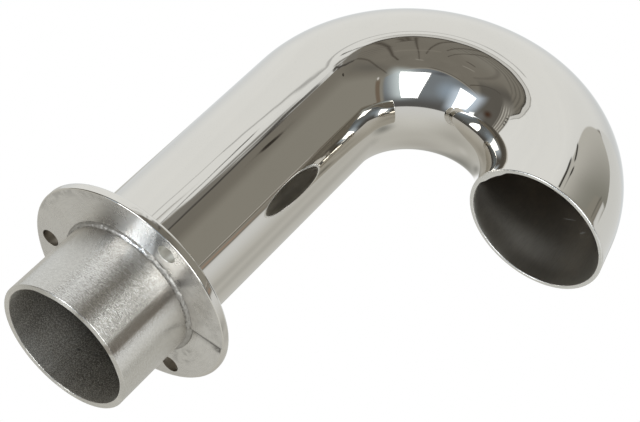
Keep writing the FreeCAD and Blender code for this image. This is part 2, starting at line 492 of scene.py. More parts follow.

# %% [markdown]
# ### The inside of the spigot
#
# Below the deck the bore is as gritty as if it had been sand-blasted: it sparkles in grains of a
# third of a millimetre. Such grains could be modelled as bumps, but a million of them would show
# no more than one noise does, which makes some specks paler and smoother than the rest. Farther
# in, the steel is painted dark as shade, and by the open end it is painted paler, as the light
# that falls in there. One dark fleck is a very short scratch.

# %% Sand-blasted steel for the inside of the spigot
def inside_of_the_spigot():
    """Gritty steel, with painted light by the open end and painted shade towards the neck."""
    finish, graph, (point, *_, up) = new_finish("blasted_inside")
    grain = graph.speckle(point, 2800, 2.0, 0.6)
    stains = graph.speckle(point, 60, 4.0, 0.6)
    colour = graph.blend(stains, (0.26, 0.235, 0.20), (0.42, 0.39, 0.345))
    colour = graph.blend(grain.rises(0.46, 0.62), colour, (0.86, 0.84, 0.78))
    # Painted shade: darker farther in, towards the neck.
    colour = graph.blend(up.rises(-0.018, -0.002) * 0.8, colour, (0.10, 0.09, 0.08))
    # Painted light: paler by the open end, where light falls in.
    colour = graph.blend((1 - up.rises(-0.0306, -0.022)) * 0.2, colour, (0.92, 0.90, 0.86))
    fleck = graph.scratch((-0.0073, 0.0212, -0.0172), (-0.0069, 0.0213, -0.0168), 0.0007)
    colour = graph.blend(fleck * 0.7, colour, (0.12, 0.11, 0.10))
    roughness = 0.50 - grain.rises(0.5, 0.8) * 0.22
    cover(graph, steel(graph, colour, roughness, graph.bumped(grain, 0.00005)))
    return finish


blasted_inside = inside_of_the_spigot()

# %% [markdown]
# ### Brushed steel
#
# The sleeve was brushed while it spun, so its scratches run round it. They smear whatever the
# steel mirrors at right angles to themselves: a window becomes a bright band from one end of the
# sleeve to the other. The shader has this built in. Anisotropic says how strong the smear is, and
# its rotation of a quarter turn lays the scratches round Z. That leaves out the single scratches
# that catch the light, so a noise that is drawn out round Z paints them into the colour: a grain
# with painted glints and shade, stronger in a sunlit band. Some bands round the sleeve are painted
# too: darker ones as painted shade, a bright one as a painted highlight, and a brown one and a
# warm one as painted reflections of the room. Next to the weld the steel is painted darker, as
# shade.

# %% Lines that a brush leaves round Z
ROUND_BRUSHING = {"Anisotropic": 1.0, "Anisotropic Rotation": 0.25}


def brush_lines(graph, place, width, length):
    """Noise drawn out into short lines that run round Z."""
    _, across, beside, up = place
    turn = beside.math("ARCTAN2", across)
    around = turn * (SPIGOT_RADIUS / length)
    where = graph.vector(length_of(across, beside) / width, around, up / width)
    return graph.speckle(where, 1.0, 2.0, 0.6)


print("settings of the brushed shaders:", ROUND_BRUSHING)


# %% Brushed steel for the spigot
def brushed_sleeve():
    """Brushing round the sleeve smears what it mirrors along it. A grain with painted glints, and
    painted bands of shade, highlight and reflection.
    """
    finish, graph, place = new_finish("brushed_sleeve")
    point, across, beside, up = place
    _, turn = spread_and_turn(across, beside)
    fine = brush_lines(graph, place, 0.00040, 0.0018)
    grain = brush_lines(graph, place, 0.00030, 0.00070)
    stains = graph.speckle(point, 60, 2.0, 0.5)
    colour = graph.blend(stains, (0.70, 0.675, 0.63), (0.77, 0.745, 0.70))
    colour = graph.blend(fine.rises(0.35, 0.7) * 0.2, colour, (0.90, 0.885, 0.85))
    # Painted shade: two bands round the sleeve are darkened.
    painted_shade_bands = turn.within(-132, -104, 8) * 0.4 | turn.within(-6, 16, 6) * 0.25
    colour = graph.blend(painted_shade_bands, colour, (0.46, 0.45, 0.42))
    # Painted highlight: a bright band along the sleeve, where it mirrors a window.
    colour = graph.blend(turn.within(-92, -79, 4) * 0.6, colour, (1.0, 0.99, 0.97))
    sunlit = turn.within(-97, -46, 5)
    # Grain tone everywhere, with painted glints and painted shade that are stronger in the sunlit
    # band.
    grain_and_glints = grain.rises(0.47, 0.66) * (0.15 + sunlit * 0.5)
    grain_and_shading = (1 - grain.rises(0.34, 0.53)) * (0.1 + sunlit * 0.3)
    colour = graph.blend(grain_and_glints, colour, (1.0, 0.99, 0.96))
    colour = graph.blend(grain_and_shading, colour, (0.36, 0.345, 0.32))
    # Painted reflection: a dark brown band, as the room's brown wall band mirrored along the
    # sleeve.
    colour = graph.blend(turn.within(-42, -33, 1.5) * 0.55, colour, (0.22, 0.17, 0.125))
    # Painted reflection: a darker warm band round the sleeve.
    colour = graph.blend(turn.near(-70, 8) * 0.4, colour, (0.30, 0.26, 0.21))
    # Painted shade: darker next to the weld.
    colour = graph.blend(up.rises(-0.0045, -0.0015) * 0.4, colour, (0.42, 0.39, 0.35))
    roughness = 0.25 + stains * 0.03
    cover(graph, steel(graph, colour, roughness, graph.bumped(fine, 0.00009), **ROUND_BRUSHING))
    return finish


sleeve_brushing = brushed_sleeve()

# %% [markdown]
# ### The flange's underside
#
# The underside was faced on a lathe, and then it had a hard life. A grinder took a shallow patch
# round one hole and left a crease where it stopped. Dirt lies at the crease's outer end, beside a
# hole and by the rim. The crease is darkened with painted shade, some bands are painted darker as
# reflections of the room, and one place carries a painted glint, a white patch. All this could be
# painted as a picture over the disc, but each mark is simple in two measures: spread, the distance
# from the axis, and turn, the direction round it. Masks made of those two stay sharp at any
# distance. The painted glint stands in for light that metal would mirror, so where it lies the
# shader is only half metal.

# %% Dirt on the flange's underside
def stains_and_shade(graph, point, spread, turn):
    """Dark marks: painted shade along the crease, dirt at its end and round a hole and the rim, and
    painted reflections in two bands.
    """
    ragged = graph.speckle(point, 900, 3.0, 0.6)
    clouds = graph.speckle(point, 300, 3.0, 0.6)
    start = math.degrees(PATCH_START)
    # Painted shade: a dark line along the crease where the ground patch steps down.
    line = (turn + (ragged - 0.5) * 1.4).near(start + 0.7, 2.9)
    outer = spread.rises(0.0325, 0.0365)
    smudge = turn.within(start, start + 5, 2.0) * outer * ragged.rises(0.30, 0.46)
    shade = turn.within(start, start + 4, 3) * 0.35
    by_hole = turn.within(28, 52, 10) * spread.within(0.0262, 0.0315, 0.002)
    by_hole = by_hole * clouds.rises(0.42, 0.62) * 0.4
    # Painted reflection: a slanting dark band of the room, mirrored in the turned steel.
    slant = turn - (spread - 0.026) * 1200
    painted_reflection_band = slant.within(-116, -104, 6) * 0.24
    # Painted reflection: a thin dark streak round the disc.
    painted_reflection_streak = (turn + (clouds - 0.5) * 4).within(-43, -38, 2)
    painted_reflection_streak = painted_reflection_streak * (0.5 - spread.rises(0.027, 0.033) * 0.2)
    by_rim = turn.within(-160, -98, 8) * spread.rises(0.034, 0.0372)
    by_rim = by_rim * clouds.rises(0.4, 0.6) * 0.25
    tarnish = turn.within(-50, start, 2) * clouds.rises(0.35, 0.65) * 0.14
    return line | smudge * 0.95 | shade | by_hole | painted_reflection_streak | by_rim | painted_reflection_band | tarnish


print("the crease lies at", round(math.degrees(PATCH_START), 1), "degrees")


# %% Turned steel for the flange's underside
def turned_underside():
    """Turned rings over the whole disc, with painted shade and reflections, and a painted glint."""
    finish, graph, place = new_finish("turned_satin")
    point, across, beside, _ = place
    spread, turn = spread_and_turn(across, beside)
    fine = brush_lines(graph, place, 0.00035, 0.003)
    stains = graph.speckle(point, 110, 4.0, 0.65)
    strokes = graph.speckle(graph.vector(turn * 0.5, spread * 160, 0), 1.0, 3.0, 0.7)
    # The painted glint: a white patch that is half metal, in place of a window's reflection.
    off = abs(turn + 76 + (strokes - 0.5) * 8) + (spread - 0.026) * 420
    painted_glint = (1 - off.rises(8, 12)) * (0.45 + strokes.rises(0.3, 0.6) * 0.55)
    colour = graph.blend(stains, (0.68, 0.655, 0.62), (0.84, 0.82, 0.785))
    colour = graph.blend(fine.rises(0.4, 0.7) * 0.25, colour, (0.50, 0.485, 0.46))
    # Stains, painted shade and painted reflections, all laid on in one dark colour.
    stains_and_painted_shade = stains_and_shade(graph, point, spread, turn)
    colour = graph.blend(stains_and_painted_shade, colour, (0.13, 0.12, 0.11))
    # Painted shade: a darker band round the disc, over a window's reflection.
    colour = graph.blend(turn.within(-59, -46, 3) * 0.5, colour, (0.40, 0.38, 0.35))
    colour = graph.blend(painted_glint, colour, (0.97, 0.97, 0.96))
    roughness = 0.25 + stains * 0.05
    half_metal = {"Metallic": 1 - painted_glint * 0.5, **ROUND_BRUSHING}
    cover(graph, steel(graph, colour, roughness, graph.bumped(fine, 0.00006), **half_metal))
    return finish


underside_turning = turned_underside()

# %% [markdown]
# ### The flange's rim and top
#
# The rim and the top that faces the weather were buffed with the tube, though less carefully. A
# second mirror finish would do, but the grinder that took the patch underneath also ran over the
# rim there and dulled it. The same two angles as in the shape say where.

# %% Polish for the flange's rim and top
def polished_rim():
    """Polish with some wear, dull where the grinder took it."""
    finish, graph, (point, across, beside, _) = new_finish("rim_polish")
    _, turn = spread_and_turn(across, beside)
    ground = turn.within(math.degrees(PATCH_START), math.degrees(PATCH_END), 4)
    smears = graph.speckle(point, 60, 4.0, 0.6)
    colour = graph.blend(smears, (0.74, 0.71, 0.66), (0.68, 0.655, 0.61))
    roughness = 0.06 + smears * 0.05 + ground * 0.2
    cover(graph, steel(graph, colour, roughness))
    return finish


rim_polish = polished_rim()

# %% [markdown]
# ### The drilled holes
#
# A drill leaves fine rings down a hole's wall. A noise that is squeezed along the hole's axis and
# hardly changes across it looks the same. The hole on one side of the flange is painted light, as
# a reflection of the table that its wall mirrors, and the others are painted dark brown.

# %% Drilled walls of the screw holes
def drilled_wall():
    """Steel with the rings of a drill, painted light on one side of the flange and dark on the
    other.
    """
    finish, graph, (point, across, beside, up) = new_finish("drilled_wall")
    rings = graph.speckle(graph.vector(across * 300, beside * 300, up * 3500), 1.0, 2.0, 0.6)
    # Painted reflection: the hole on one side is light, as the table that its wall mirrors; the
    # others are dark brown.
    colour = graph.blend(beside.rises(-0.026, -0.006), (0.84, 0.83, 0.78), (0.24, 0.21, 0.17))
    colour = graph.blend(rings * 0.2, colour, (0.30, 0.28, 0.25))
    cover(graph, steel(graph, colour, 0.40 + rings * 0.06, graph.bumped(rings, 0.000004)))
    return finish


hole_drilling = drilled_wall()

# %% [markdown]
# ### The weld
#
# Weld metal cools into scales, with pits of burnt slag where it wets the sleeve. The shape below
# carries the large unevenness. What is finer than a third of a millimetre is left to the shader:
# two noises in the bump, and dark pits along the inner edge. All of it stops where the grinder
# went over it, and one short stretch carries a painted highlight and is smoother.

# %% Bare metal of the weld
def weld_metal():
    """Satin, with dark pits beside the sleeve, and dressed flat by the patch."""
    finish, graph, (point, across, beside, _) = new_finish("bare_weld")
    spread, turn = spread_and_turn(across, beside)
    rough = 1 - turn.within(math.degrees(PATCH_START), math.degrees(PATCH_END), 4)
    grit = graph.speckle(point, 1500, 3.0, 0.7)
    scale = graph.speckle(point, 420, 2.0, 0.6)
    pits = grit.rises(0.50, 0.58) * (1 - spread.rises(SPIGOT_RADIUS, SPIGOT_RADIUS + 0.0008))
    pits = pits * rough * scale.rises(0.30, 0.50)
    # Painted highlight: a short bright stretch of the bead, which is also smoother.
    glint = turn.within(-92, -70, 5)
    colour = graph.blend(scale, (0.31, 0.29, 0.265), (0.52, 0.505, 0.47))
    colour = graph.blend(glint, colour, (0.88, 0.88, 0.87))
    colour = graph.blend(pits * 0.8, colour, (0.10, 0.09, 0.085))
    roughness = 0.42 + grit * 0.12 - glint * 0.2
    height = grit * rough * 0.5 + scale * rough * 0.5
    cover(graph, steel(graph, colour, roughness, graph.bumped(height, 0.00005)))
    return finish


weld_bare = weld_metal()

# %% [markdown]
# ## The swan neck
#
# The neck gives the fitting its name: one tube, hollow all the way, that leans over so far that
# rain can't run in. A curve with a round bevel would give a tube in three lines, but with no wall
# to look at in the mouth, and its end would be cut square to the tube. So rings are set along the
# tube's middle line: up the outside, round the lip and down the inside, one closed skin.

# %% Rings along the neck
NECK_COLUMNS = 192
AZIMUTHS = np.linspace(0, 2 * math.pi, NECK_COLUMNS, endpoint=False)


def neck_place(swing):
    """The middle of the tube after some of the bend, with its outward and onward directions."""
    across = BEND_RADIUS * (1 - math.cos(swing))
    up = LEG_TOP + BEND_RADIUS * math.sin(swing)
    outward = Vector((-math.cos(swing), 0, math.sin(swing)))
    onward = Vector((math.sin(swing), 0, math.cos(swing)))
    return Vector((across, 0, up)), outward, onward


def neck_ring(centre, outward, radius):
    """One ring round the tube's middle line."""
    radii = np.broadcast_to(radius, AZIMUTHS.shape)
    outwards = np.outer(radii * np.cos(AZIMUTHS), outward)
    sideways = np.outer(radii * np.sin(AZIMUTHS), (0, 1, 0))
    return np.array(centre) + (outwards + sideways)


bend_end, *_ = neck_place(BEND_ANGLE)
print("the bend ends at, in mm:", [round(1000 * v, 1) for v in bend_end])
print(f"a column of the neck is {2000 * math.pi * NECK_RADIUS / NECK_COLUMNS:.2f} mm wide")

# %% [markdown]
# The saw that cut the mouth level leaned by a degree or two across the tube, so each point of a
# ring on the tail slides along the tube until it meets that cut. At one place the saw folded a
# burr of metal inwards. Both are small, but they tell a sawn tube from a computed one. The edge
# is rounded more outside, where the file went round it, than inside.

# %% Cut the mouth
MOUTH_SLANT = 0.029
MOUTH_OUTER_ROUNDING = 0.0005
MOUTH_INNER_ROUNDING = 0.0003
MOUTH_BURR = np.array([0.0008 * arc(a, -156, -128, 5) for a in AZIMUTHS])
LIP_STEPS = 8


def mouth_ring(radius, above, share=1.0):
    """A ring on the tail whose points end at a height above the mouth's level cut."""
    centre, outward, onward = neck_place(BEND_ANGLE)
    start = neck_ring(centre, outward, radius)
    cut = MOUTH_HEIGHT + MOUTH_SLANT * start[:, 1]
    length = (cut + above - start[:, 2]) / onward.z
    return start + np.outer(length * share, onward)


def mouth_lip():
    """Rings round the mouth's edge: rounded outside and inside, with a burr left at one place."""
    turns = [math.pi / 2 * step / LIP_STEPS for step in range(LIP_STEPS + 1)]
    edge = NECK_RADIUS - NECK_WALL - MOUTH_BURR
    lip = []
    for turn in turns[1:]:
        inward = MOUTH_OUTER_ROUNDING * (1 - math.cos(turn))
        above = MOUTH_OUTER_ROUNDING * (1 - math.sin(turn))
        lip.append(mouth_ring(NECK_RADIUS - inward, above))
    for turn in turns:
        outward = MOUTH_INNER_ROUNDING * (1 - math.sin(turn))
        above = MOUTH_INNER_ROUNDING * (1 - math.cos(turn))
        lip.append(mouth_ring(edge + outward, above))
    return lip


print(f"the lip has {len(mouth_lip())} rings and a burr of {1000 * MOUTH_BURR.max():.1f} mm")

# %% [markdown]
# The walls need no such care. Rings stand close together along the bend, so that the mirror shows
# no facets, and farther apart on the straight leg, where the polish can't tell the difference.
# The foot is closed by the same rule as everything else: the last ring joins the first.

# %% Make the neck
LEG_STEPS = 16
BEND_STEPS = 96
TAIL_STEPS = 10


def neck_wall(radius, above):
    """Rings from the foot to the tail's end, at one radius."""
    rings = []
    for height in np.linspace(SEAT_HEIGHT, LEG_TOP, LEG_STEPS, endpoint=False):
        rings.append(neck_ring(Vector((0, 0, height)), Vector((-1, 0, 0)), radius))
    for swing in np.linspace(0, BEND_ANGLE, BEND_STEPS, endpoint=False):
        centre, outward, _ = neck_place(swing)
        rings.append(neck_ring(centre, outward, radius))
    for share in np.linspace(0, 1, TAIL_STEPS):
        rings.append(mouth_ring(radius, above, share))
    return rings


def make_neck():
    """The tube as one closed skin, with polish outside, drawn steel inside and a filed lip."""
    outside = neck_wall(NECK_RADIUS, MOUTH_OUTER_ROUNDING)
    lip = mouth_lip()
    inside = neck_wall(NECK_RADIUS - NECK_WALL, MOUTH_INNER_ROUNDING + MOUTH_BURR)[::-1]
    rings = outside + lip + inside
    finishes = [mirror_polish, drawn_inside, filed_lip]
    finish_of_ring = [0] * len(outside) + [2] * len(lip) + [1] * len(inside)
    neck = ring_skin("polished_neck", rings, finishes, finish_of_ring)
    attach(neck, "root")
    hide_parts("swan_neck_tube")


make_neck()

# %% [markdown]
# ## The flange
#
# The flange is a turned disc: flat below, where it lies on the deck, and sloping on top, so that
# water runs off it. A Screw modifier could spin its section. But round one hole somebody ground
# the underside lower, with a crease where the wheel started and a slow fade where it ended. So
# the section is worked out anew in each direction, sunk by the share that was ground away there.

# %% The flange's section, which sinks where it was ground
RIM_LOWER_ROUNDING = 0.0005
RIM_UPPER_ROUNDING = 0.0013
GROUND_ROUNDING = 0.0012
SEAT_ROUNDING = 0.0002
CREASE_WIDTH = math.radians(0.6)
FADE_WIDTH = math.radians(9)


def ground_share(azimuth):
    """How far the patch has been ground here, from 0 to 1: a crease at its start, then a fade."""
    azimuth = azimuth if azimuth < math.pi * 1.5 else azimuth - 2 * math.pi
    rise = (azimuth - PATCH_START) / CREASE_WIDTH + 0.5
    fall = (PATCH_END - azimuth) / FADE_WIDTH + 0.5
    return eased(min(rise, fall), 0, 1)


def dome_height(across):
    """The top's height, straight from the rim's upper edge to the neck."""
    slope_foot = FLANGE_RADIUS - RIM_UPPER_ROUNDING * 0.7
    share = (slope_foot - across) / (FLANGE_RADIUS - SEAT_RADIUS)
    return RIM_HEIGHT + (FLANGE_TOP - RIM_HEIGHT) * share


def flange_section(azimuth):
    """The flange's section in one direction: the underside first, then the rim and the top."""
    ground = ground_share(azimuth)
    floor = PATCH_DEPTH * ground
    lower_rounding = RIM_LOWER_ROUNDING + (GROUND_ROUNDING - RIM_LOWER_ROUNDING) * ground
    return rounded_section([
        (BORE_RADIUS, WELD_TOE - BORE_RADIUS, 0),
        (WELD_TOE + floor, floor, 0),
        (SCREW_OFFSET, floor, 0),
        (FLANGE_RADIUS, floor, lower_rounding),
        (FLANGE_RADIUS, RIM_HEIGHT, RIM_UPPER_ROUNDING),
        (SCREW_OFFSET, dome_height(SCREW_OFFSET), 0),
        (SEAT_RADIUS, FLANGE_TOP, SEAT_ROUNDING),
        (SEAT_RADIUS, SEAT_HEIGHT, 0),
        (BORE_RADIUS, SEAT_HEIGHT, 0),
    ])


print("ground away at 0, 3.4, 60 and 120 degrees:", [
    round(ground_share(math.radians(turn)), 2) for turn in (0, 3.4, 60, 120)])

# %% [markdown]
# The three screw holes are drilled as on a bench: a round bar stands where each screw goes, and a
# Boolean modifier takes the bar away from the disc. The bar flares by a tenth of a millimetre
# where it leaves the underside, so that the hole gets the broken edge that a file would give it.
# The modifier's Transfer setting leaves the bar's own finish on the walls that it cuts.

# %% Bars to drill with
HOLE_EDGE = 0.0001
HOLE_SIDES = 48
BAR_MARGIN = 0.002


def round_bar(outline):
    """A bar about Z, as a bmesh, from its outline of distances and heights."""
    bar = bmesh.new()
    rings = []
    turns = np.linspace(0, 2 * math.pi, HOLE_SIDES, endpoint=False)
    for across, up in outline:
        spots = [(across * math.cos(turn), across * math.sin(turn), up) for turn in turns]
        rings.append([bar.verts.new(spot) for spot in spots])
    bar.faces.new(rings[0][::-1])
    bar.faces.new(rings[-1])
    for lower, upper in zip(rings, rings[1:]):
        for place in range(len(turns)):
            beside = (place + 1) % len(turns)
            bar.faces.new((lower[place], lower[beside], upper[beside], upper[place]))
    return bar


def hole_cutter(azimuth):
    """A round bar where a screw goes, flared where it leaves the underside."""
    floor = PATCH_DEPTH * ground_share(azimuth)
    below, above = -BAR_MARGIN, FLANGE_TOP + BAR_MARGIN
    outline = [
        (SCREW_HOLE_RADIUS + HOLE_EDGE - (below - floor), below),
        (SCREW_HOLE_RADIUS, floor + HOLE_EDGE),
        (SCREW_HOLE_RADIUS, above),
    ]
    bar = round_bar(outline)
    middle = Vector((SCREW_OFFSET * math.cos(azimuth), SCREW_OFFSET * math.sin(azimuth), 0))
    bmesh.ops.translate(bar, verts=bar.verts, vec=middle)
    mesh = bpy.data.meshes.new("screw_hole_cutter")
    bar.to_mesh(mesh)
    bar.free()
    mesh.materials.append(hole_drilling)
    cutter = bpy.data.objects.new("screw_hole_cutter", mesh)
    bpy.context.collection.objects.link(cutter)
    return cutter


print(f"three holes of {2000 * SCREW_HOLE_RADIUS:.1f} mm, at {SCREW_TURNS} degrees")


# %% Make the flange
FLANGE_COLUMNS = 720
UNDERSIDE_RINGS = 3


def cut_away(piece, cutters, crisp=30):
    """Cuts each cutter's shape out of the piece for good."""
    for cutter in cutters:
        cut = piece.modifiers.new("cut", "BOOLEAN")
        cut.operation = "DIFFERENCE"
        cut.solver = "EXACT"
        cut.material_mode = "TRANSFER"
        cut.object = cutter
    done = piece.evaluated_get(bpy.context.evaluated_depsgraph_get())
    mesh = bpy.data.meshes.new_from_object(done)
    piece.modifiers.clear()
    piece.data = mesh
    mesh.set_sharp_from_angle(angle=math.radians(crisp))
    for cutter in cutters:
        bpy.data.objects.remove(cutter)
    print(f"{piece.name}: {len(mesh.polygons)} faces after {len(cutters)} cuts")


def make_flange():
    """The drilled disc, with its underside turned and the rest polished."""
    rings = turned_rings(flange_section, FLANGE_COLUMNS)
    finish_of_ring = [1] * len(rings)
    finish_of_ring[:UNDERSIDE_RINGS] = [0] * UNDERSIDE_RINGS
    flange = ring_skin("flange_disc", rings, [underside_turning, rim_polish], finish_of_ring)
    cut_away(flange, [hole_cutter(math.radians(turn)) for turn in SCREW_TURNS])
    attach(flange, "root")
    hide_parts("deck_flange")


make_flange()

# %% [markdown]
# ## The spigot
#
# The spigot is a short sleeve that guides the cables through the deck. It could be a plain tube,
# but its inner edge is the nearest thing to the eye in the photograph, and it isn't round: the
# burr was scraped off by hand, more on one side than on the other. Two arcs and a little noise
# move that edge by some tenths of a millimetre. The noise is read on a circle, so that it meets
# itself after a full turn. The root is turned down a little, so that it slips into the flange.

# %% Turn the spigot
SPIGOT_END_ROUNDING = 0.0003
SPIGOT_INNER_ROUNDING = 0.00018
BURR_HEIGHT = 0.0008
SPIGOT_COLUMNS = 480


def spigot_section(azimuth):
    """The sleeve's section in one direction, from the inner edge of its end."""
    inside = SPIGOT_RADIUS - SPIGOT_WALL
    here = Vector((math.cos(azimuth), math.sin(azimuth), 0))
    burr = 0.0001 * noise.noise(here * 12) + 0.00008 * noise.noise(here * 45)
    burr += 0.00035 * arc(azimuth, -166, -114, 6) - 0.00045 * arc(azimuth, -108, -10, 6)
    return rounded_section([
        (inside + burr, SPIGOT_END, SPIGOT_INNER_ROUNDING),
        (SPIGOT_RADIUS, SPIGOT_END, SPIGOT_END_ROUNDING),
        (SPIGOT_RADIUS, -WELD_LEG, 0),
        (ROOT_RADIUS, -WELD_LEG, 0),
        (ROOT_RADIUS, SEAT_HEIGHT, 0),
        (inside, SEAT_HEIGHT, 0),
        (inside, SPIGOT_END + BURR_HEIGHT, 0),
    ])


def make_spigot():
    """The sleeve, brushed outside and gritty inside."""
    rings = turned_rings(spigot_section, SPIGOT_COLUMNS)
    finish_of_ring = [0] * len(rings)
    finish_of_ring[-2:] = [1, 1]
    spigot = ring_skin("spigot_sleeve", rings, [sleeve_brushing, blasted_inside], finish_of_ring)
    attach(spigot, "root")
    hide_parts("deck_spigot")


make_spigot()

# %% [markdown]
# ## The weld
#
# A bead of weld metal fills the corner between the sleeve and the flange. The hand that laid it
# moved in small steps, so the bead swells, sinks and wanders. A smooth ring with a bump texture
# would still have a straight edge, so here the section itself changes, by three sizes of noise.
# Beside the ground patch the wheel took the bead too: there it is smooth and a little hollow.

# %% Lay the weld
WELD_COLUMNS = 960
WANDER, RIPPLE, GRAIN = 0.0003, 0.00012, 0.00007
CROWN, HOLLOW = 0.0002, 0.00025


def weld_section(azimuth):
    """The bead's section in one direction."""
    ground = ground_share(azimuth)
    grit = 1 - ground
    here = Vector((math.cos(azimuth), math.sin(azimuth), 0))
    wander = noise.noise(here * 9) * WANDER * grit
    top = WELD_TOE - ROOT_RADIUS
    points = [(ROOT_RADIUS, -WELD_LEG), (SPIGOT_RADIUS, -WELD_LEG - wander)]
    for share in (0.15, 0.3, 0.45, 0.6, 0.75, 0.9):
        bulge = math.sin(math.pi * share) * (CROWN * grit - HOLLOW * ground)
        bulge += noise.noise(here * 25 + Vector((0, 0, share * 2))) * RIPPLE * grit
        bulge += noise.noise(here * 70 + Vector((0, 0, share * 5))) * GRAIN * grit
        across = SPIGOT_RADIUS + (WELD_LEG + wander) * share + bulge
        points.append((across, -WELD_LEG * (1 - share) - bulge))
    floor = PATCH_DEPTH * ground
    points += [(WELD_TOE + floor + wander, floor), (ROOT_RADIUS, top)]
    return points


def make_weld():
    """The bead, smooth all over, because molten metal has no crisp edges."""
    rings = turned_rings(weld_section, WELD_COLUMNS)
    weld = ring_skin("weld_ring", rings, [weld_bare], crisp=180)
    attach(weld, "root")
    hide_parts("weld_bead")


make_weld()

# %% [markdown]
# ## The room that the polish shows
#
# Polished steel has hardly a colour of its own: nearly all that the photograph shows on the neck
# is the room round it. So the room is painted into the world by direction. Turn goes round the
# horizon and rise goes up, both in degrees, as one would point at things in a room: a beige
# table below, a white sheet hung behind the object, a brown ceiling, and a hall with two windows.
# Walls, lamps and cloth could be modelled instead, but they are many, only their reflections are
# ever seen, and they would have to keep out of the camera's way. Painted, each is a line or two.
#
# The class below knows a few shapes. A patch is a soft oval, a pane has straight sides, a stroke
# is a short thick line, and a wire is a long thin one. Each gives a share from 0 to 1, and paint
# lays a colour over the room by that share, so what is nearer is painted later.

# %% Words for painting a room by direction
WIRE_END = 0.0012


def heading(turn, rise):
    """The direction with this turn and rise, in degrees, as a vector of length 1."""
    turn, rise = math.radians(turn), math.radians(rise)
    level = math.cos(rise)
    return Vector((level * math.sin(turn), -math.sin(rise), -level * math.cos(turn)))


class Room(Graph):
    """A world whose colours are laid over one another, the last on top."""

    def __init__(self, world):
        super().__init__(world)
        self.way = self.add("ShaderNodeTexCoord", take="Generated")
        x, y, z = [self.add("ShaderNodeSeparateXYZ", None, {0: self.way}, take=i) for i in range(3)]
        self.turn = x.math("ARCTAN2", -z).math("DEGREES")
        self.rise = (-y).math("ARCSINE").math("DEGREES")
        self.behind = (-x).math("ARCTAN2", z).math("DEGREES")
        self.colour = (0.2, 0.2, 0.2)

    def paint(self, share, *colour):
        """Lays a colour over what is there, as far as the share goes from 0 to 1."""
        self.colour = self.blend(share, self.colour, colour)

    def patch(self, turn, width, rise, height):
        """A soft round patch: 1 in its middle, 0 at its edge."""
        across = (self.turn - turn) / width
        up = (self.rise - rise) / height
        return 1 - length_of(across, up).rises(0, 1)

    def pane(self, *corners, round_from=None):
        """How many degrees a direction lies inside a pane. Its corners go clockwise."""
        here = round_from or self.turn
        depths = []
        for (turn, rise), (next_turn, next_rise) in zip(corners, corners[1:] + corners[:1]):
            length = math.hypot(next_turn - turn, next_rise - rise)
            across, up = (next_turn - turn) / length, (next_rise - rise) / length
            depths.append((here - turn) * up - (self.rise - rise) * across)
        return reduce(and_, depths)

    def stroke(self, start, end, width, round_from=None):
        """A thin line from start to end: 1 along its middle, 0 at its width."""
        reach = Vector(end) - Vector(start)
        across, up = (round_from or self.turn) - start[0], self.rise - start[1]
        share = (across * reach.x + up * reach.y) / reach.length_squared
        share = (share | 0) & 1
        across, up = across - share * reach.x, up - share * reach.y
        return 1 - length_of(across, up).rises(0, width)

    def wire(self, width, *points):
        """A thin line over the ceiling from point to point, each a turn and a rise."""
        pieces = []
        for first, last in zip(points, points[1:]):
            first, last = heading(*first), heading(*last)
            pole = tuple(first.cross(last).normalized())
            middle = (first + last).normalized()
            off = abs(self.vectors("DOT_PRODUCT", self.way, pole, take=1))
            along = self.vectors("DOT_PRODUCT", self.way, tuple(middle), take=1)
            reach = middle.dot(first)
            pieces.append((1 - off.rises(0, width)) * along.rises(reach - WIRE_END, reach))
        return reduce(or_, pieces)

    def sheet_top(self):
        """How high the white sheet reaches at each turn."""
        past = self.behind - 32
        sweep = (past | 0) / 11 + (past & 0) / 20
        return 61.5 - sweep * sweep

    def above_horizon(self):
        """How far a direction lies above the table's far edge, which leans a little."""
        return self.rise - ((self.turn - 20) * 0.02 - 1.2)

    def tell(self, what):
        """Prints what was painted, and how large the world's graph has grown."""
        print(f"{what} painted, {len(self.tree.nodes)} nodes so far")


print("turn 90 and rise 0 point along", [round(v, 1) for v in heading(90, 0)])

# %% An empty room
studio = bpy.data.worlds.new("studio_room")
bpy.context.scene.world = studio
room = Room(studio)
room.tell("nothing")

# %% [markdown]
# ### Ceiling and table
#
# The ceiling fills the upper side of the bend. It is brown and blotched, with stripes that fan
# out where boards run away from the eye and rings where something round hangs. Sines of a
# direction give both at the cost of one node. The table fills the lower side: a beige plain with
# broad soft lights and shades, each a round patch. They are soft because nobody can tell from a
# bent mirror how crisp the things on a table are, while a wrong edge would show at once.

# %% Ceiling
def paint_ceiling():
    """A brown ceiling with a fan of boards and a few rings."""
    blotches = room.speckle(room.way, 4, 3.0)
    room.colour = room.blend(blotches, (0.20, 0.19, 0.165), (0.26, 0.245, 0.215))
    room.paint(room.patch(-115, 60, 68, 18) * 0.7, 0.30, 0.29, 0.26)
    room.paint(room.patch(125, 50, 58, 8) * 0.7, 0.155, 0.15, 0.135)
    height = room.rise - room.sheet_top()
    fan = height / ((room.behind - 12) | 8) * 100
    stripes = (fan + blotches * 7).math("SINE").rises(-0.2, 0.9)
    fanned = room.behind.within(38, 104, 8) * height.within(1, 17, 4)
    room.paint(stripes * fanned * 0.55, 0.12, 0.115, 0.10)
    rings = ((room.behind + 8) * 0.9 + blotches * 12).math("SINE").rises(-0.2, 0.9)
    room.paint(rings * room.patch(178, 42, 68, 9) * 0.45, 0.11, 0.10, 0.09)
    room.paint(room.stroke((-110, 66), (-40, 60), 2.0) * 0.35, 0.11, 0.10, 0.09)


paint_ceiling()
room.tell("ceiling")


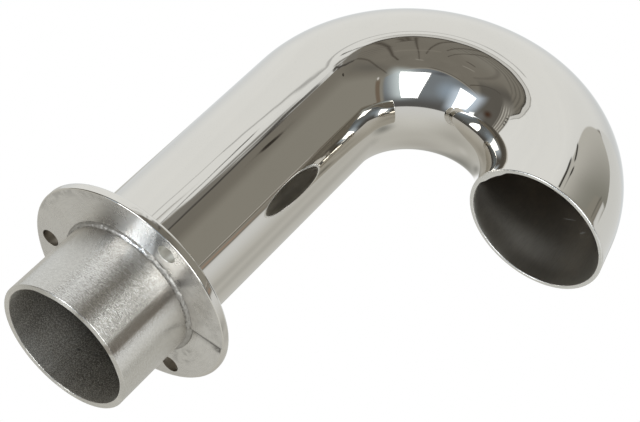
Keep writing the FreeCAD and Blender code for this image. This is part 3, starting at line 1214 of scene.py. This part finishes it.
# %% Table
def paint_table():
    """A beige table with broad lights and shades."""
    turn, rise = room.turn, room.rise
    table = room.blend(rise.rises(-90, -60), (0.52, 0.515, 0.485), (0.60, 0.60, 0.57))
    table = room.blend(room.patch(-30, 70, -40, 18) * 0.8, table, (0.50, 0.50, 0.47))
    table = room.blend(turn.near(48, 85) * rise.rises(-60, -22), table, (0.76, 0.77, 0.75))
    table = room.blend(turn.within(-8, 200, 8) * rise.rises(-30, -3), table, (0.79, 0.81, 0.82))
    table = room.blend(room.patch(-118, 60, -62, 24) * 0.9, table, (0.27, 0.27, 0.25))
    table = room.blend(room.patch(-68, 22, -50, 9) * 0.5, table, (0.72, 0.72, 0.70))
    table = room.blend(room.patch(105, 32, -33, 12) * 0.85, table, (0.26, 0.265, 0.25))
    table = room.blend(room.patch(140, 26, -46, 9) * 0.25, table, (0.30, 0.30, 0.28))
    far_floor = room.pane((141, -34), (141, 0), (200, 0), (200, -62))
    table = room.blend(far_floor.rises(-2, 3), table, (0.78, 0.80, 0.80))
    room.colour = room.blend(room.above_horizon().rises(-0.8, 0.8), table, room.colour)


paint_table()
room.tell("table")

# %% [markdown]
# ### Wires
#
# Wires and seams cross the ceiling as thin lines. A line between two directions is a piece of a
# great circle, so a direction's distance from it is a dot product with the circle's pole. That
# stays true straight overhead, where turn and rise pinch together, so the wires aren't strokes as
# the marks on the walls are. They are listed in a table, each with its width and its strength.

# %% Wires and seams on the ceiling
DARK_WIRES = [
    # width, share, and the points from end to end
    (0.009, 1.0, [(-157, 64), (-174, 78), (107, 84), (58, 75)]),
    (0.009, 1.0, [(-147, 64), (-149, 70), (-152, 77), (-170, 85), (76, 86)]),
    (0.008, 1.0, [(-140, 63), (-138, 67), (-135, 74), (-127, 81)]),
    (0.008, 1.0, [(-133, 64), (-122, 73), (-101, 81), (-49, 84)]),
    (0.02, 1.0, [(-169, 63), (173, 71), (145, 74), (120, 73), (95, 70)]),
    (0.015, 1.0, [(-162, 64), (-167, 69), (-164, 69), (-159, 63)]),
    (0.018, 0.8, [(163, 62), (140, 64), (112, 59), (92, 51)]),
    (0.018, 1.0, [(-30, 49), (-53, 53), (-68, 52), (-73, 50)]),
    (0.018, 1.0, [(-70, 76), (-68, 73)]),
]


def paint_wires():
    """Thin dark lines on the ceiling, and three pale ones."""
    dark = reduce(or_, [room.wire(width, *points) * share for width, share, points in DARK_WIRES])
    room.paint(dark * 0.75, 0.06, 0.05, 0.04)
    seam = room.wire(0.022, (142, 76), (143, 80), (156, 86), (-123, 86))
    room.paint(seam * 0.4, 0.36, 0.34, 0.30)
    room.paint(room.wire(0.022, (62, 75), (53, 75)) * 0.5, 0.50, 0.48, 0.44)
    room.paint(room.wire(0.018, (-39, 73), (-50, 68)) * 0.5, 0.50, 0.48, 0.44)


paint_wires()
room.tell("wires")

# %% [markdown]
# ### The walls
#
# The polish shows two walls with slats, a shelf and small things on them, and a hall between
# them. They are too small to be told apart, so a few bars and blots with the right colours stand
# for them. Bars that repeat come from a sine of turn or rise, cut off by a mask.

# %% The walls on either side
def paint_walls():
    """Slats and rungs on one wall, a shelf's worth of blots on the other."""
    turn, rise = room.turn, room.rise
    painted_reflection_band = turn.within(-90, -44, 4) * rise.within(2, 56, 6)
    room.paint(painted_reflection_band * 0.8, 0.115, 0.11, 0.10)
    room.paint(room.patch(-52, 12, 12, 12) * 0.6, 0.24, 0.25, 0.26)
    room.paint(turn.within(-92, -77, 3) * rise.within(4, 44, 6) * 0.5, 0.42, 0.41, 0.38)
    slats = (turn * 1.9).math("SINE").rises(0.1, 0.7)
    room.paint(slats * turn.within(-88, -76, 2) * rise.within(4, 38, 4) * 0.9, 0.62, 0.61, 0.57)
    room.paint(room.patch(-61, 9, 20, 7), 0.075, 0.04, 0.025)
    rungs = (rise * 1.6).math("SINE").rises(0.2, 0.8)
    room.paint(rungs * turn.within(-87.5, -84.5, 0.7) * rise.within(20, 32, 1), 0.05, 0.05, 0.045)

    wall = turn.within(91, 160, 5) * rise.within(3, 47, 6)
    room.paint(wall, 0.31, 0.30, 0.265)
    room.paint(turn.within(97, 103, 1.5) * rise.within(5, 42, 4) * 0.8, 0.18, 0.13, 0.09)
    room.paint(room.patch(101, 2.2, 44, 3), 0.9, 0.9, 0.9)
    room.paint(room.stroke((112, 9.4), (125, 9.2), 0.5), 0.85, 0.84, 0.80)
    room.paint(room.stroke((112, 8.3), (128, 8.3), 0.9), 0.12, 0.09, 0.07)
    room.paint(room.stroke((112, 4), (121, 4), 2.0) * 0.8, 0.42, 0.29, 0.22)


paint_walls()
room.tell("walls")

# %% [markdown]
# ### The hall and its windows
#
# The brightest things on the bend are two windows at the end of a dark hall, and their crisp
# edges are what makes the steel look polished. Each is a pane: four corners, and how many degrees
# a direction lies inside them. The same measure, spread wider, lights the wall round the window.
# The windows aren't painted white but shine later with a light of their own, several times
# brighter than white, so that they also light the satin parts of the steel.

# %% The hall with its two windows
def paint_hall():
    """A dark hall under an arch. Gives back where its windows and its lamp are."""
    turn, rise = room.turn, room.rise
    arch = (turn - 33) / 14.5
    depth = 62 - arch * arch - rise
    hall = depth.rises(-0.7, 0.7) * turn.rises(-46, -40) * turn.within(-50, 92, 3)
    hall = hall * room.above_horizon().rises(-0.7, 0.7)
    dusk = room.blend(rise.rises(2, 26), (0.12, 0.12, 0.12), (0.23, 0.26, 0.29))
    room.colour = room.blend(hall, room.colour, dusk)
    room.paint(hall * room.patch(0, 26, 32, 22) * 0.9, 0.36, 0.45, 0.56)
    room.paint(hall * room.patch(60, 40, 58, 10) * 0.8, 0.34, 0.37, 0.40)
    room.paint(hall * room.patch(12, 22, 57, 5) * 0.7, 0.09, 0.09, 0.10)
    room.paint(depth.within(-1.6, -0.2, 0.5) * turn.within(-42, 80, 6) * 0.8, 0.40, 0.39, 0.36)
    room.paint(depth.within(-3.4, -2.2, 0.6) * turn.within(-42, 30, 6) * 0.6, 0.10, 0.09, 0.08)

    large = room.pane((43, 14), (28, 56), (73, 53.5), (66, 14))
    small = room.pane((-30, 14), (-39, 33.5), (-16, 41.5), (-8.5, 7))
    lamp = room.pane((-44, 7), (-43, 14), (-36, 12), (-36, 7))
    beside_large = large.rises(-24, 2) * turn.rises(40, 72) * rise.within(13, 58, 7)
    beside_small = small.rises(-17, 1) * rise.within(4, 40, 8)
    room.paint(beside_large * 0.9, 0.80, 0.92, 0.98)
    room.paint(beside_small * 0.9, 0.78, 0.92, 1.10)
    return large.rises(-0.7, 0.7) + small.rises(-0.7, 0.7), lamp.rises(-1.0, 1.0)


windows, lamp = paint_hall()
room.tell("hall")

# %% [markdown]
# ### The white sheet, and a board on it
#
# Behind the object hangs the white sheet that makes it look silvery. Its top edge sags on both
# sides of a hook, its folds run down it, and it greys towards its foot. It is painted in a turn of
# its own, counted from behind, because the plain one jumps from 180 to -180 in the middle of the
# sheet. A grey board leans against it and shows in the side of the tail. The sheet's hem and the
# dark line over it come last, because they run across the board's upper end.

# %% The white cloth
def paint_cloth():
    """The sheet itself, with folds and a grey foot. Gives back where it is and its top."""
    rise, behind = room.rise, room.behind
    ripples = (room.speckle(room.way, 5, 3.0) - 0.5) * 5
    top = room.sheet_top() + ripples
    edge = (top - rise) & (92 - behind) & (behind + 9)
    lower = behind.rises(30, 90) * 43 - 47
    sheet = edge.rises(-0.6, 0.6) * (rise - lower).rises(-2, 2)
    folds = room.speckle(room.vector(behind * 0.11, 0, rise * 0.004), 1.0, 3.0, 0.6)
    paper = room.blend(folds, (0.91, 0.935, 0.945), (0.99, 1.015, 1.02))
    grey = (1 - rise.rises(-28, 6)) * 0.9 + (1 - behind.rises(-12, 22)) * 0.25
    paper = room.blend(grey & 1, paper, (0.74, 0.77, 0.79))
    room.colour = room.blend(sheet, room.colour, paper)
    return sheet, top


sheet, top = paint_cloth()
room.tell("white cloth")


# %% The board
BOARD_MARKS = [
    # both ends, width and share
    ((-2.8, 37.4), (-4.6, 39.8), 1.6, 1.0),
    ((-0.2, 43.6), (-2.6, 46), 1.9, 1.0),
    ((-7.9, 42.1), (-8.5, 42.8), 1.6, 1.0),
    ((-35.6, 7), (-34.6, 5), 1.2, 0.25),
]


def paint_board():
    """A grey board that leans against the sheet, with a few black marks."""
    behind = room.behind
    corners = (-36, -6), (-33, 24), (-27, 40), (-12, 50), (0.5, 49), (-8.3, 10), (-10, 3), (-20, -4)
    board = room.pane(*corners, round_from=behind)
    tone = room.blend(behind.rises(-37, -6), (0.28, 0.28, 0.25), (0.60, 0.60, 0.57))
    room.colour = room.blend(board.rises(-0.4, 0.4), room.colour, tone)
    marks = reduce(or_, [
        room.stroke(start, end, width, behind) * share for start, end, width, share in BOARD_MARKS])
    room.paint((marks * 1.8 & 1) * 0.95, 0.03, 0.03, 0.025)


paint_board()
room.tell("board")


# %% The sheet's hem
def paint_hem(sheet, top):
    """A grey hem along the sheet's top with a dark line on either side, and light at its foot."""
    behind = room.behind
    below_top = top - room.rise
    along = behind.within(20, 91, 3)
    room.paint(sheet * below_top.within(0.6, 3.2, 0.5) * along * 0.6, 0.60, 0.60, 0.58)
    room.paint(sheet * below_top.near(3.8, 0.8) * along * 0.8, 0.22, 0.21, 0.19)
    room.paint(below_top.near(-0.9, 1.4) * behind.within(11, 91, 3) * 0.9, 0.05, 0.045, 0.04)
    room.paint(room.patch(-160, 24, -40, 12) * sheet * 0.8, 0.92, 0.95, 0.95)
    room.paint(room.patch(-123, 17, -45, 8) * 0.9, 0.31, 0.31, 0.29)


paint_hem(sheet, top)
room.tell("hem")

# %% [markdown]
# ### The sheet's edge along the leg
#
# On the straight leg everything is drawn out lengthwise, as in a fairground mirror: a short crease
# in the sheet's edge becomes a line as long as a finger. So the creases are strokes that run from
# place to place, on a turn that ripples a little. Two marks, a fold and a slit, are so short that
# they are ovals laid askew, wide in turn and narrow in rise, which the leg draws straight again.

# %% The sheet's edge
def paint_sheet_edge():
    """Creases and shadows where the sheet's edge passes behind the leg."""
    rise, behind = room.rise, room.behind
    ripples = room.speckle(room.way, 16, 3.0) - 0.5
    place = behind + ripples * 9

    def crease(start, end, width, share=1.0):
        room.paint(room.stroke(start, end, width, place) * share, 0.07, 0.065, 0.06)

    crease((35, 52.7), (29, 51.2), 0.7, 0.5)
    crease((29, 51.2), (9, 52.7), 0.7, 0.5)
    crease((10.5, 60.5), (13.9, 55.6), 1.1)
    streaks = (behind * 1.3 + ripples * 14).math("SINE").rises(-1.0, 0.7)
    band = place.within(-14, 3, 1) * (rise + ripples * 3).within(54.9, 62, 0.5)
    room.paint(band * (streaks * 0.5 + 0.4), 0.24, 0.235, 0.22)
    crease((-16.5, 60), (-10.8, 55.9), 2.2)
    crease((-10.8, 55.9), (-4.3, 54.6), 2.0)
    turn, up = room.turn - 174.8, rise - 54.2
    across, along = turn * 0.374 - up * 0.561, (up * 1.495 - turn * 0.164) / 1.3
    fold = 1 - length_of(across, along).rises(0.7, 1.3)
    room.paint(fold * 0.9, 0.10, 0.095, 0.085)
    turn, up = room.turn - 153.7, rise - 51.4
    across, along = turn / 2.8, (up - turn * 0.44) / 0.7
    slit = 1 - length_of(across, along).rises(0.6, 1.2)
    room.paint(slit * 0.95, 0.03, 0.025, 0.02)


paint_sheet_edge()
room.tell("sheet's edge")

# %% [markdown]
# ### Light
#
# The painted room is also the only light, which is as soft as a studio's. Light Path tells what
# is looking. The camera sees plain white, so that the object stands on a white page, while the
# steel mirrors the room. Just beyond the tube, where a ray from the camera barely grazes it, the
# polish mirrors the page itself, so a small patch in that direction is white for glossy rays too.

# %% Light the world
DAYLIGHT = 5.0
LAMPLIGHT_SHARE = 0.3


def light_room(shining):
    """Ends the world: daylight where it shines, white for the camera, the room for the rest."""
    lit = room.add("ShaderNodeBackground", None, {"Color": room.colour, "Strength": 1.0})
    daylight = {"Color": (0.95, 0.98, 1.0, 1), "Strength": DAYLIGHT}
    daylight = room.add("ShaderNodeBackground", None, daylight)
    lit = room.add("ShaderNodeMixShader", None, {0: shining, 1: lit, 2: daylight})
    white = room.add("ShaderNodeBackground", None, {"Color": (1, 1, 1, 1), "Strength": 1.0})
    seen = room.add("ShaderNodeLightPath", take="Is Camera Ray")
    mirrored = room.add("ShaderNodeLightPath", take="Is Glossy Ray")
    refracted = room.add("ShaderNodeLightPath", take="Is Transmission Ray")
    ahead = room.patch(-148, 16, -47, 9)
    seen = seen | (mirrored | refracted) * ahead
    both = room.add("ShaderNodeMixShader", None, {0: seen, 1: lit, 2: white})
    room.add("ShaderNodeOutputWorld", None, {"Surface": both})


light_room(windows + lamp * LAMPLIGHT_SHARE)
room.tell("light")

# %% [markdown]
# ## Floor, camera and the last lines
#
# The fitting stands on the end of its spigot on a plain pale floor. The photograph looks up at it
# from below that floor, so the floor is clear from underneath: Geometry's Backfacing tells the
# sides apart. Two things could still give it away. In the polish it would hide the painted table,
# and on the table's side it would throw shade, so it is hidden from all rays but the camera's.

# %% Floor
FLOOR_REACH = 3.0


def make_floor():
    """A pale floor under the spigot's end, seen only from above."""
    reach = FLOOR_REACH
    mesh = bpy.data.meshes.new("floor")
    corners = [(-reach, -reach), (reach, -reach), (reach, reach), (-reach, reach)]
    mesh.from_pydata([(x, y, SPIGOT_END) for x, y in corners], [], [(0, 1, 2, 3)])
    floor = bpy.data.objects.new("floor", mesh)
    bpy.context.collection.objects.link(floor)
    finish = bpy.data.materials.new("pale_floor")
    graph = Graph(finish)
    matt = graph.add("ShaderNodeBsdfDiffuse", None, {"Color": (0.93, 0.93, 0.93, 1)})
    clear = graph.add("ShaderNodeBsdfTransparent")
    under = graph.add("ShaderNodeNewGeometry", take="Backfacing")
    both = graph.add("ShaderNodeMixShader", None, {0: under, 1: matt, 2: clear})
    graph.add("ShaderNodeOutputMaterial", None, {"Surface": both})
    mesh.materials.append(finish)
    floor.visible_glossy = False
    floor.visible_diffuse = False
    floor.visible_transmission = False
    floor.visible_shadow = False
    print(f"floor at {1000 * SPIGOT_END:.1f} mm")


make_floor()

# %% [markdown]
# The photograph was taken with a long lens, slanted, from half a metre away and from under the
# deck's side. The camera's place and lens were found by fitting a pinhole camera to points on the
# outlines, the holes and the lips, and the three directions are what such a fit gives. The view
# transform Standard shows each colour as it was mixed.

# %% Camera
CAMERA_PLACE = Vector((0.236898, -0.440235, -0.260413))
CAMERA_RIGHT = Vector((0.80828, -0.05046, 0.58663))
CAMERA_DOWN = Vector((0.46953, 0.65643, -0.59047))
CAMERA_FORWARD = Vector((-0.35528, 0.75270, 0.55427))
CAMERA_LENS = 99.306


def make_camera():
    """A camera where the photograph was taken from."""
    camera = bpy.data.objects.new("camera", bpy.data.cameras.new("camera"))
    turned = Matrix((CAMERA_RIGHT, -CAMERA_DOWN, -CAMERA_FORWARD)).transposed().to_4x4()
    camera.matrix_world = Matrix.Translation(CAMERA_PLACE) @ turned
    camera.data.sensor_width = 36
    camera.data.lens = CAMERA_LENS
    camera.data.clip_start = 0.01
    bpy.context.collection.objects.link(camera)
    bpy.context.scene.camera = camera
    print(f"camera {CAMERA_PLACE.length:.2f} m from the deck's origin, lens {CAMERA_LENS:.0f} mm")


make_camera()
bpy.context.scene.view_settings.view_transform = "Standard"

# %% [markdown]
# The finished pieces should agree with the CAD model's box to a fraction of a millimetre, because
# this script dresses the model and doesn't resize it.
